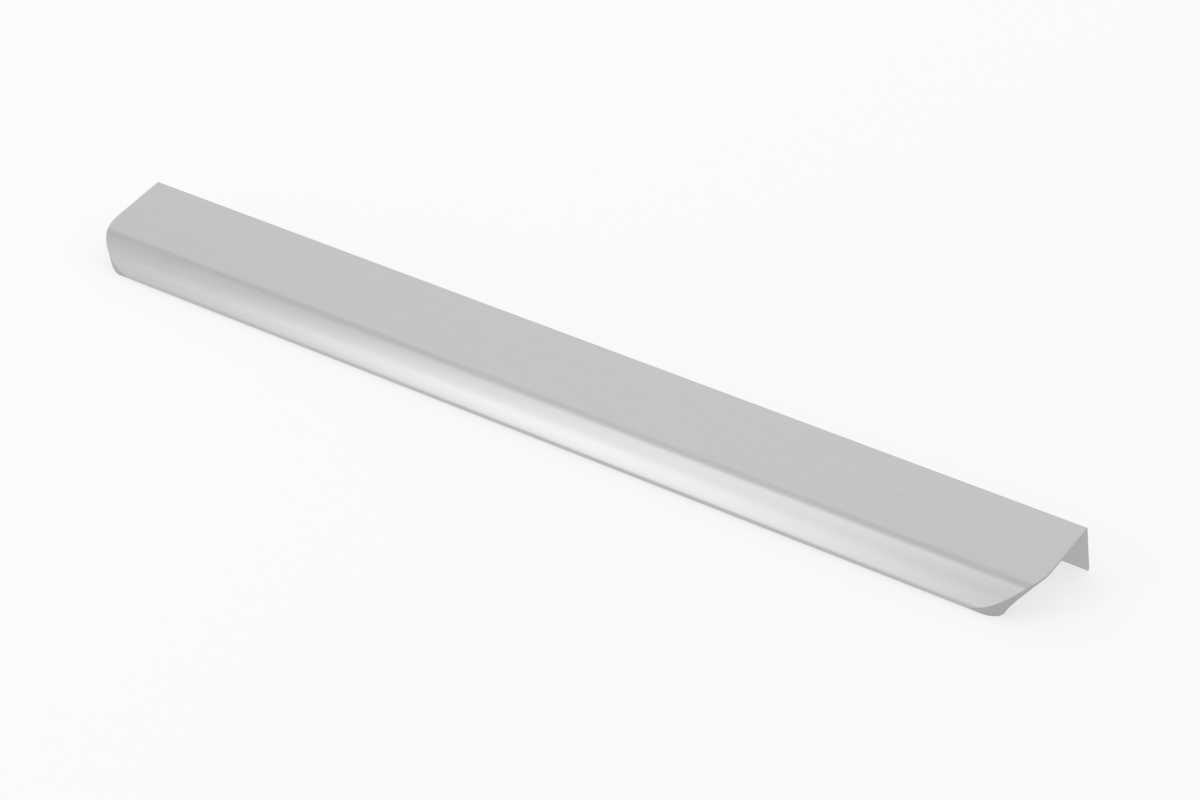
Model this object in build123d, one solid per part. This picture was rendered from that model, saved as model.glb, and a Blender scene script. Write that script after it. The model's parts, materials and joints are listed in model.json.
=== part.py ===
from build123d import *
from math import asin, atan2, cos, degrees, hypot, radians, sin, sqrt
import os

# Edge pull for a drawer or cabinet front, one length of extruded aluminium.
# The flange goes behind the front, the flat top lies on its upper edge,
# and the lip curves down on the room side as the grip.
# The section is drawn level, with the top of the flat at height 0 and the rear face at depth 0.
# The finished pull lies as it would on a floor, on the flange's lower edge and the lip's nose.
# X runs along the pull, -Y is the room side and +Z is up. All sizes are in millimetres.

# Driving dimensions
length = 520.0             # end to end
wall = 1.2                 # flat top and flange
flange_height = 24.0       # top face to the lower edge of the flange
plate_depth = 39.0         # flat top, from the rear face to where the bend starts
bend_radius = 12.8         # outside of the bend at the front of the flat top
bend_angle = 22.0          # turn of the bend, in degrees
lip_radius = 22.9          # outside of the lip, from the bend to the nose
lip_angle = 35.0           # turn of the lip, in degrees
nose_radius = 2.4          # rounding of the lip's lower edge
grip_radius = 15.5         # hollow behind the lip, where the fingers go
corner_radius = 25.3       # the two front corners, seen from above
edge_radius = 0.4          # lower edge of the flange, and both sides of the corner above it
hole_diameter = 4.2        # screw holes through the flange
hole_height = 10.0         # screw holes above the lower edge of the flange
outer_hole_spacing = 448.0
inner_hole_spacing = 160.0

# Outside of the lip: two tangent arcs, then the nose
bend = radians(bend_angle)
slope = radians(bend_angle + lip_angle)
bend_centre = Vector(-plate_depth, -bend_radius)
lip_centre = bend_centre + (lip_radius - bend_radius) * Vector(sin(bend), -cos(bend))
nose_centre = lip_centre + (lip_radius - nose_radius) * Vector(-sin(slope), cos(slope))
depth = nose_radius - nose_centre.X

# Inside of the lip: one arc that runs out of the flat's underside and meets the nose
grip_drop = nose_centre.Y + wall + grip_radius
grip_run = sqrt((grip_radius + nose_radius) ** 2 - grip_drop**2)
grip_centre = Vector(nose_centre.X + grip_run, -wall - grip_radius)
grip_angle = degrees(atan2(grip_run, grip_drop))

# Lie of the pull on the floor: the line under the nose and the flange's front lower edge
flange_foot = Vector(edge_radius - wall, edge_radius - flange_height)
foot_to_nose = nose_centre - flange_foot
rise = atan2(foot_to_nose.Y, -foot_to_nose.X)
rest_tilt = degrees(rise - asin((nose_radius - edge_radius) / hypot(foot_to_nose.X, foot_to_nose.Y)))


def section():
    bend_arc = CenterArc(bend_centre, bend_radius, 90, bend_angle)
    lip_arc = CenterArc(lip_centre, lip_radius, 90 + bend_angle, lip_angle)
    grip_arc = CenterArc(grip_centre, grip_radius, 90, grip_angle)
    nose_turn = 180 + grip_angle - bend_angle - lip_angle
    nose_arc = CenterArc(nose_centre, nose_radius, 90 + bend_angle + lip_angle, nose_turn)
    outside = Polyline((0, -flange_height), (0, 0), bend_arc @ 0)
    inside = Polyline(grip_arc @ 0, (-wall, -wall), (-wall, -flange_height), (0, -flange_height))
    face = make_face([*outside.edges(), bend_arc, lip_arc, nose_arc, grip_arc, *inside.edges()])
    rear_corner = face.vertices().sort_by_distance((0, 0))[0]
    inner_corner = face.vertices().sort_by_distance((-wall, -wall))[0]
    flange_edge = face.vertices().sort_by(Axis.Y)[:2]
    return Plane.YZ * fillet([rear_corner, inner_corner, *flange_edge], edge_radius)


def plan_outline():
    # Seen from above: square at the back, the front corners rounded
    outline = Pos(0, -depth / 2) * Rectangle(length, depth)
    front_corners = outline.vertices().sort_by(Axis.Y)[:2]
    return fillet(front_corners, corner_radius)


def screw_holes():
    drill = Rot(90, 0, 0) * Cylinder(hole_diameter / 2, 3 * wall)
    spacings = (outer_hole_spacing, inner_hole_spacing)
    places = [side * spacing / 2 for spacing in spacings for side in (-1, 1)]
    return [Pos(x, -wall / 2, hole_height - flange_height) * drill for x in places]


bar = extrude(section(), amount=length / 2, both=True)
blank = extrude(plan_outline(), amount=-flange_height)
level_pull = (bar & blank) - screw_holes()

tilted = Rot(rest_tilt, 0, 0) * level_pull
box = tilted.bounding_box()
handle = Pos(0, -box.center().Y, -box.min.Z) * tilted

os.makedirs("parts", exist_ok=True)
export_step(handle, "parts/handle_profile.step")
print("size", handle.bounding_box().size, "volume", round(handle.volume, 1), "tilt", round(rest_tilt, 3))
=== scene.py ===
import json
from math import atan2, ceil, cos, degrees, pi, radians, sin, sqrt
import bpy
from mathutils import Matrix, Vector
from mathutils.geometry import delaunay_2d_cdt, tessellate_polygon


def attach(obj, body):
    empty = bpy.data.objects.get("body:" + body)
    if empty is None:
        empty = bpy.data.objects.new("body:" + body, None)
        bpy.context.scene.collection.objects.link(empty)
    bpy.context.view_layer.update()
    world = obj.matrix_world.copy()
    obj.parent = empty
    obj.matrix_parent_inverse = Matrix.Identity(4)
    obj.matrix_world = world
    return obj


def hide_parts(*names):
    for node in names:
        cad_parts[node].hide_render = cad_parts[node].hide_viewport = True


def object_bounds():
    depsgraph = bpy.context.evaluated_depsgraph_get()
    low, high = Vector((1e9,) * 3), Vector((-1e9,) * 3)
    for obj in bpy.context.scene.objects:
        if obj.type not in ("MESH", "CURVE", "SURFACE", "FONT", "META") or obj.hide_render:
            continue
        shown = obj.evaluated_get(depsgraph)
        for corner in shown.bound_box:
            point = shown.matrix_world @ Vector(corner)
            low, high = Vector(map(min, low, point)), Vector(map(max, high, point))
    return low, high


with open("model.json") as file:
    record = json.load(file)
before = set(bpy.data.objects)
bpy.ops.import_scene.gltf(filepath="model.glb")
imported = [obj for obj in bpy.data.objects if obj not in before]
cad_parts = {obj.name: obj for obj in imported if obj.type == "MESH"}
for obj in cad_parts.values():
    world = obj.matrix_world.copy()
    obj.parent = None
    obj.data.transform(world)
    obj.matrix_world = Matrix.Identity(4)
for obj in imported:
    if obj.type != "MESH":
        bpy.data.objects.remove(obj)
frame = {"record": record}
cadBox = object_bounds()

scene = bpy.context.scene
scene.view_settings.view_transform = "Standard"
mounts = {mount["name"]: mount for mount in frame["record"]["mounts"]}
perMetre = 1000  # the mounts' own sizes are in millimetres
print("frame loaded, box", [tuple(round(v, 5) for v in corner) for corner in cadBox])

# The pull is drawn level, with the top of the flat at height 0 and the rear face at depth 0,
# then tipped onto its flange and nose. Metres and degrees.
pull = {
    "wall": 0.0012,             # flat top and flange
    "flangeHeight": 0.024,
    "plateDepth": 0.039,        # rear face to the start of the bend
    "bendRadius": 0.0128,
    "bendAngle": 22,
    "lipRadius": 0.0229,
    "lipAngle": 35,
    "noseRadius": 0.0024,
    "gripRadius": 0.0155,       # hollow behind the lip
    "cornerRadius": 0.0253,     # front corners from above
    "edgeRadius": 0.0004,
    "holeHeight": 0.010,        # screw holes above the flange's lower edge
    "deburr": 0.0001,           # softened edge round the cut ends
    "deburrSteps": 3,
    "arcStep": 3,               # degrees for each facet of an arc
    "flatStep": 0.0012,         # facets of the flat top and its underside
    "leastStep": 0.00001,       # nearest that two depths of the lip come
    "weld": 1e-7,               # corners nearer than this are one
    "triangleSlack": 1e-9,      # the same for the triangles of a cut end
    "holePatch": 0.006,         # half width of the flange patch round a screw hole
    "holeSides": 48,
}

half = (cadBox[1].x - cadBox[0].x) / 2
wall, edgeRadius, noseRadius = pull["wall"], pull["edgeRadius"], pull["noseRadius"]
bend, slope = radians(pull["bendAngle"]), radians(pull["bendAngle"] + pull["lipAngle"])
bendCentre = Vector((-pull["plateDepth"], -pull["bendRadius"]))
lipCentre = bendCentre + (pull["lipRadius"] - pull["bendRadius"]) * Vector((sin(bend), -cos(bend)))
noseCentre = lipCentre + (pull["lipRadius"] - noseRadius) * Vector((-sin(slope), cos(slope)))
gripDrop = noseCentre.y + wall + pull["gripRadius"]
gripRun = sqrt((pull["gripRadius"] + noseRadius) ** 2 - gripDrop ** 2)
gripCentre = Vector((noseCentre.x + gripRun, -wall - pull["gripRadius"]))
gripEnd = 90 + degrees(atan2(gripRun, gripDrop))

# Depths where one form runs into the next
lipStart = bendCentre.x - pull["bendRadius"] * sin(bend)
noseStart = noseCentre.x - noseRadius * sin(slope)
gripStart = noseCentre.x + noseRadius * gripRun / (pull["gripRadius"] + noseRadius)
front = noseCentre.x - noseRadius           # foremost line of the nose
cornerStart = front + pull["cornerRadius"]  # where the corners begin


def arc(centre, radius, start, end, hollow=False):
    steps = ceil(abs(end - start) / pull["arcStep"])
    for k in range(steps + 1):
        angle = radians(start + (end - start) * k / steps)
        spoke = Vector((cos(angle), sin(angle)))
        yield centre + radius * spoke, -spoke if hollow else spoke


def straight(start, end, normal, step):
    start, end = Vector(start), Vector(end)
    steps = ceil((end - start).length / step)
    for k in range(steps + 1):
        yield start.lerp(end, k / steps), Vector(normal)


def onArc(centre, radius, depth, side):  # where an arc passes a depth, on its upper (1) or lower (-1) side
    run = (depth - centre.x) / radius
    spoke = Vector((run, side * sqrt(max(1 - run ** 2, 0))))
    return centre + radius * spoke, spoke


def outerAt(depth):  # flat top, bend, lip, upper side of the nose
    if depth >= bendCentre.x:
        return Vector((depth, 0)), Vector((0, 1))
    if depth >= lipStart:
        return onArc(bendCentre, pull["bendRadius"], depth, 1)
    if depth >= noseStart:
        return onArc(lipCentre, pull["lipRadius"], depth, 1)
    return onArc(noseCentre, noseRadius, depth, 1)


def innerAt(depth):  # underside of the flat, hollow, lower side of the nose
    if depth >= gripCentre.x:
        return Vector((depth, -wall)), Vector((0, -1))
    if depth >= gripStart:
        point, spoke = onArc(gripCentre, pull["gripRadius"], depth, 1)
        return point, -spoke
    return onArc(noseCentre, noseRadius, depth, -1)


# Depths from the start of the corners to the front, close enough for every arc in the section and in plan
def frontDepths():
    lipTurn, noseTurn = 90 + pull["bendAngle"], 90 + pull["bendAngle"] + pull["lipAngle"]
    arcs = [
        arc(bendCentre, pull["bendRadius"], 90, lipTurn),
        arc(lipCentre, pull["lipRadius"], lipTurn, noseTurn),
        arc(noseCentre, noseRadius, noseTurn, 180 + gripEnd),
        arc(gripCentre, pull["gripRadius"], gripEnd, 90),
        arc(Vector((cornerStart, 0)), pull["cornerRadius"], 90, 180),
    ]
    depths = [cornerStart]
    for depth in sorted((point.x for run in arcs for point, _ in run), reverse=True):
        if min(depths[-1] - depth, depth - front) > pull["leastStep"]:
            depths.append(depth)
    return depths + [front]


# Section: (depth, height) points with their outward normals, once round from the rear corner over the top
def sectionLoop(depths):
    lowEdge = edgeRadius - pull["flangeHeight"]
    oneFacet = pull["flangeHeight"]  # a step that leaves each face of the flange whole
    stretches = [
        arc(Vector((-edgeRadius, -edgeRadius)), edgeRadius, 0, 90),
        straight((-edgeRadius, 0), (cornerStart, 0), (0, 1), pull["flatStep"]),
        [outerAt(depth) for depth in depths],
        [innerAt(depth) for depth in reversed(depths)],
        straight((cornerStart, -wall), (-wall - edgeRadius, -wall), (0, -1), pull["flatStep"]),
        arc(Vector((-wall - edgeRadius,) * 2), edgeRadius, 90, 0, hollow=True),
        straight((-wall, -wall - edgeRadius), (-wall, lowEdge), (-1, 0), oneFacet),
        arc(Vector((edgeRadius - wall, lowEdge)), edgeRadius, 180, 270),
        arc(Vector((-edgeRadius, lowEdge)), edgeRadius, 270, 360),
        straight((0, lowEdge), (0, -edgeRadius), (1, 0), oneFacet),
    ]
    loop = []
    for point, normal in (pair for stretch in stretches for pair in stretch):
        if not loop or (point - loop[-1][0]).length > pull["weld"]:
            loop.append((point, normal))
    if (loop[-1][0] - loop[0][0]).length < pull["weld"]:
        loop.pop()
    return loop


def cornerRun(depth):  # how far into the rounded corner a depth lies
    return min(max(cornerStart - depth, 0), pull["cornerRadius"])


def halfAt(depth):  # half length of the pull at a depth
    radius = pull["cornerRadius"]
    return half - radius + sqrt(radius ** 2 - cornerRun(depth) ** 2)


def endNormal(depth, side):
    inset = cornerRun(depth) / pull["cornerRadius"]
    return Vector((side * sqrt(1 - inset ** 2), -inset, 0))


# From the skin (turn 0) round the softened edge to the cut (turn 90 degrees)
def endRing(point, normal, side, turn):
    square = 1 - (normal.x * endNormal(point.x, side).y) ** 2
    soft = pull["deburr"] * square
    inner = point - normal * soft * (1 - cos(turn))
    cut = endNormal(inner.x, side)
    x = side * (halfAt(inner.x) - soft * (1 - sin(turn)))
    return Vector((x, *inner)), (Vector((0, *normal)) * cos(turn) + cut * sin(turn)).normalized()


# Level to resting place, from the flange's own mount
holeMount = mounts["outer_screws"]
toFloor = Matrix.Rotation(atan2(holeMount["axis"][2], holeMount["axis"][1]), 3, "X")
holeLine = Vector((0, 0, pull["holeHeight"] - pull["flangeHeight"]))
shift = Vector(holeMount["pos_m"]) - toFloor @ holeLine


# The second material, on the cut ends and screw bores, carries painted shade: its base colour is darker
# than the brushed skin to stand in for the shade those faces sit in.
brushedFinish, milledFinishPaintedShade = 0, 1  # places in the pull's list of materials


class Skin:  # collects faces with a normal at each corner
    def __init__(self):
        self.places, self.points, self.faces, self.normals, self.finish = {}, [], [], [], []

    def corner(self, point):
        key = tuple(round(v / pull["weld"]) for v in point)
        if key not in self.places:
            self.places[key] = len(self.points)
            self.points.append(shift + toFloor @ point)
        return self.places[key]

    def face(self, corners, finish=brushedFinish):
        kept = []
        for point, normal in corners:
            index = self.corner(point)
            if index not in [k for k, _ in kept]:
                kept.append((index, toFloor @ normal))
        if len(kept) > 2:
            self.faces.append([k for k, _ in kept])
            self.normals += [normal for _, normal in kept]
            self.finish.append(finish)

    def mesh(self, name, materials):
        made = bpy.data.meshes.new(name)
        made.from_pydata(self.points, [], self.faces)
        for material in materials:
            made.materials.append(material)
        made.polygons.foreach_set("material_index", self.finish)
        made.polygons.foreach_set("use_smooth", [True] * len(self.faces))
        made.normals_split_custom_set(self.normals)
        return made


def buildSkin():
    depths = frontDepths()
    skin, loop = Skin(), sectionLoop(depths)
    count = len(loop)
    turns = [radians(90) * k / pull["deburrSteps"] for k in range(pull["deburrSteps"] + 1)]
    spacings = [mounts[name]["dims"]["pcd_mm"] / perMetre for name in ("outer_screws", "inner_screws")]
    holes = sorted(side * spacing / 2 for spacing in spacings for side in (-1, 1))
    stations = [hole + side * pull["holePatch"] for hole in holes for side in (-1, 1)]

    rows = []  # every loop point carried from the left cut to the right cut
    for point, normal in loop:
        left = [endRing(point, normal, -1, turn) for turn in reversed(turns)]
        middle = [(Vector((x, *point)), Vector((0, *normal))) for x in stations]
        rows.append(left + middle + [endRing(point, normal, 1, turn) for turn in turns])

    # Columns that hold a screw hole, and the drop that only the flange's two faces have
    patchColumns = {len(turns) + 2 * k: hole for k, hole in enumerate(holes)}
    flangeDrop = pull["flangeHeight"] / 2
    for i in range(count):
        here, after = rows[i], rows[(i + 1) % count]
        tall = abs(loop[i][0].y - loop[(i + 1) % count][0].y) > flangeDrop
        for j in range(len(here) - 1):
            quad = [here[j], after[j], after[j + 1], here[j + 1]]
            if tall and j in patchColumns:
                holePatch(skin, quad, patchColumns[j])
            else:
                skin.face(quad)

    for hole in holes:
        bore(skin, hole)
    tip = min(range(count), key=lambda k: loop[k][0].x)
    ties = [(tip - k, tip + k) for k in range(1, len(depths))]  # the two sides of the lip at each depth
    for side, column in ((-1, 0), (1, -1)):
        cutEnd(skin, [row[column][0] for row in rows], side, ties)
    return skin


def holeRing(hole, depth):
    radius = holeMount["dims"]["hole_r_mm"] / perMetre
    angles = [2 * pi * k / pull["holeSides"] for k in range(pull["holeSides"])]
    return [Vector((hole + radius * cos(a), depth, holeLine.z + radius * sin(a))) for a in angles]


def holePatch(skin, quad, hole):
    outline, normal = [point for point, _ in quad], quad[0][1]
    ring = holeRing(hole, outline[0].y)
    points = outline + ring
    flat = [[Vector((p.x, p.z, 0)) for p in loop] for loop in (outline, ring)]
    for triangle in tessellate_polygon(flat):
        a, b, c = (points[k] for k in triangle)
        if (b - a).cross(c - a).dot(normal) < 0:
            b, c = c, b
        skin.face([(a, normal), (b, normal), (c, normal)])


def bore(skin, hole):
    centre = Vector((hole, 0, holeLine.z))
    frontRing, rearRing = holeRing(hole, -wall), holeRing(hole, 0)
    for k in range(pull["holeSides"]):
        ends = [frontRing[k], rearRing[k], rearRing[k - 1], frontRing[k - 1]]
        inward = [(centre - p) * Vector((1, 0, 1)) for p in ends]
        skin.face([(p, n.normalized()) for p, n in zip(ends, inward)], milledFinishPaintedShade)


def cutEnd(skin, outline, side, ties):
    flat = [Vector((p.y, p.z)) for p in outline]
    edges = [(k, (k + 1) % len(flat)) for k in range(len(flat))]
    insideOnly = 1  # triangles within the outline
    triangles = delaunay_2d_cdt(flat, edges + ties, [], insideOnly, pull["triangleSlack"])[2]
    for triangle in triangles:
        order = triangle if side > 0 else list(reversed(triangle))
        skin.face([(outline[k], endNormal(outline[k].y, side)) for k in order], milledFinishPaintedShade)


# Shader maths as expressions on sockets
class Wire:
    def __init__(self, tree, socket=None):
        self.tree, self.socket = tree, socket

    def node(self, kind, settings=None, inputs=None, output=0):
        made = self.tree.nodes.new(kind)
        for name, value in (settings or {}).items():
            setattr(made, name, value)
        for name, value in (inputs or {}).items():
            if isinstance(value, Wire):
                self.tree.links.new(value.socket, made.inputs[name])
            else:
                made.inputs[name].default_value = value
        return Wire(self.tree, made.outputs[output]) if made.outputs else made

    def maths(self, operation, first, second):
        return self.node("ShaderNodeMath", {"operation": operation}, {0: first, 1: second})

    def __add__(self, other):
        return self.maths("ADD", self, other)

    def __radd__(self, other):
        return self.maths("ADD", other, self)

    def __mul__(self, other):
        return self.maths("MULTIPLY", self, other)

    def __rmul__(self, other):
        return self.maths("MULTIPLY", other, self)


def newMaterial(name):
    material = bpy.data.materials.new(name)
    material.use_nodes = True
    material.node_tree.nodes.clear()
    return material, Wire(material.node_tree)


def grain(wire, stretch, detail):  # noise drawn out along the object's axes
    place = wire.node("ShaderNodeTexCoord", output="Object")
    drawn = wire.node("ShaderNodeVectorMath", {"operation": "MULTIPLY"}, {0: place, 1: stretch})
    inputs = {"Vector": drawn, "Scale": 1.0, "Detail": detail}
    return wire.node("ShaderNodeTexNoise", {}, inputs, output="Fac")


def tint(wire, share, dark, light):  # 6, 7 and 2 are the Mix node's colour sockets
    return wire.node("ShaderNodeMix", {"data_type": "RGBA"}, {"Factor": share, 6: dark, 7: light}, output=2)


brushed = {
    "dark": (0.48, 0.48, 0.48, 1),
    "light": (0.60, 0.60, 0.60, 1),
    "fineLines": (30, 5200, 5200),    # lines to the metre, along, across and up
    "fineDetail": 2,
    "fineShare": 0.6,                 # the rest is the broad lines
    "broadLines": (40, 900, 900),
    "broadDetail": 3,
    "roughness": 0.26,
    "roughnessSwing": 0.08,
    "bump": 0.5,
    "bumpDepth": 0.00002,
}


def brushedMetal():
    material, wire = newMaterial("brushedAluminium")
    fine = grain(wire, brushed["fineLines"], brushed["fineDetail"])
    broad = grain(wire, brushed["broadLines"], brushed["broadDetail"])
    lines = fine * brushed["fineShare"] + broad * (1 - brushed["fineShare"])
    relief = wire.node("ShaderNodeBump", {}, {
        "Strength": brushed["bump"],
        "Distance": brushed["bumpDepth"],
        "Height": lines})
    metal = wire.node("ShaderNodeBsdfPrincipled", {}, {
        "Base Color": tint(wire, lines, brushed["dark"], brushed["light"]),
        "Metallic": 1.0,
        "Roughness": lines * brushed["roughnessSwing"] + brushed["roughness"],
        "Normal": relief})
    wire.node("ShaderNodeOutputMaterial", {}, {"Surface": metal})
    return material


# Cut ends and screw bores: the mill marks and the rougher finish are the metal's own, but the darker base
# colour is painted shade. It stands in for the shade on these faces and for the shadowed floor they mirror.
cutMetalPaintedShade = {
    "dark": (0.42, 0.42, 0.42, 1),
    "light": (0.50, 0.50, 0.50, 1),
    "millMarks": (1600, 1600, 60),    # fine marks down the cut
    "markDetail": 2,
    "roughness": 0.40,
    "roughnessSwing": 0.10,
}


def milledMetalPaintedShade():
    material, wire = newMaterial("milledAluminiumPaintedShade")
    marks = grain(wire, cutMetalPaintedShade["millMarks"], cutMetalPaintedShade["markDetail"])
    metal = wire.node("ShaderNodeBsdfPrincipled", {}, {
        "Base Color": tint(wire, marks, cutMetalPaintedShade["dark"], cutMetalPaintedShade["light"]),
        "Metallic": 1.0,
        "Roughness": marks * cutMetalPaintedShade["roughnessSwing"] + cutMetalPaintedShade["roughness"]})
    wire.node("ShaderNodeOutputMaterial", {}, {"Surface": metal})
    return material


handle = bpy.data.objects.new("edgePull", buildSkin().mesh("edgePull", [brushedMetal(), milledMetalPaintedShade()]))
scene.collection.objects.link(handle)
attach(handle, "root")
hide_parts("handle_profile")
print("pull built,", len(handle.data.polygons), "faces")

floorLook = {
    "size": 12,
    "colour": (0.95, 0.95, 0.95, 1),
    "whiteShare": 0.7,                 # how far its shadows are lifted, seen directly or in the metal
    "white": (1, 1, 1, 1),
    "whiteRays": ("Is Camera Ray", "Is Glossy Ray", "Is Transmission Ray"),
}


def paleFloor():
    material, wire = newMaterial("paleFloor")
    board = wire.node("ShaderNodeBsdfDiffuse", {}, {"Color": floorLook["colour"]})
    white = wire.node("ShaderNodeEmission", {}, {"Color": floorLook["white"], "Strength": 1.0})
    seen = 0
    for ray in floorLook["whiteRays"]:
        seen = wire.node("ShaderNodeLightPath", output=ray) + seen
    blend = wire.node("ShaderNodeMixShader", {}, {0: seen * floorLook["whiteShare"], 1: board, 2: white})
    wire.node("ShaderNodeOutputMaterial", {}, {"Surface": blend})
    return material


reach = floorLook["size"] / 2
floorMesh = bpy.data.meshes.new("floor")
floorCorners = [(-reach, -reach, 0), (reach, -reach, 0), (reach, reach, 0), (-reach, reach, 0)]
floorMesh.from_pydata(floorCorners, [], [(0, 1, 2, 3)])
floorMesh.materials.append(paleFloor())
floor = bpy.data.objects.new("floor", floorMesh)
scene.collection.objects.link(floor)

room = {"colour": (1, 1, 1, 1), "strength": 0.80}  # an even pale room
world = bpy.data.worlds.new("room")
scene.world = world
world.use_nodes = True
world.node_tree.nodes.clear()
wire = Wire(world.node_tree)
walls = wire.node("ShaderNodeBackground", {}, {"Color": room["colour"], "Strength": room["strength"]})
wire.node("ShaderNodeOutputWorld", {}, {"Surface": walls})

# Softboxes hang parallel to the pull: place along it, lean from overhead to the room side, distance
softboxes = {
    "topSoftbox": {"along": -0.75, "lean": -44, "distance": 1.4, "size": (2.4, 1.16), "brightness": 0.26},
    "overSoftbox": {"along": -0.72, "lean": 0, "distance": 1.4, "size": (0.60, 1.30), "brightness": 0.14},
    "frontSoftbox": {"along": -0.75, "lean": 48, "distance": 1.4, "size": (0.58, 2.19), "brightness": 0.94},
    "lowSoftbox": {"along": -0.89, "lean": 70, "distance": 1.4, "size": (0.54, 1.14), "brightness": 0.52},
}
for name, box in softboxes.items():
    lamp = bpy.data.lights.new(name, "AREA")
    lamp.shape = "RECTANGLE"
    lamp.size, lamp.size_y = box["size"]
    lamp.energy = box["brightness"] * pi * box["size"][0] * box["size"][1]
    lean = radians(box["lean"])
    light = bpy.data.objects.new(name, lamp)
    light.location = (box["along"], -sin(lean) * box["distance"], cos(lean) * box["distance"])
    light.rotation_euler = (lean, 0, 0)
    light.visible_camera = False
    scene.collection.objects.link(light)
print("stage lit")

shot = {
    "place": (0.83125, -1.09183, 0.83339),  # metres
    "azimuth": 36.417,                      # degrees to the right of the front
    "elevation": 31.165,
    "lens": 106.77,                         # millimetres
    "sensor": 36,
}
lens = bpy.data.cameras.new("shot")
lens.lens, lens.sensor_width = shot["lens"], shot["sensor"]
camera = bpy.data.objects.new("shot", lens)
camera.location = shot["place"]
camera.rotation_euler = (radians(90 - shot["elevation"]), 0, radians(shot["azimuth"]))
scene.collection.objects.link(camera)
scene.camera = camera
print("camera set")
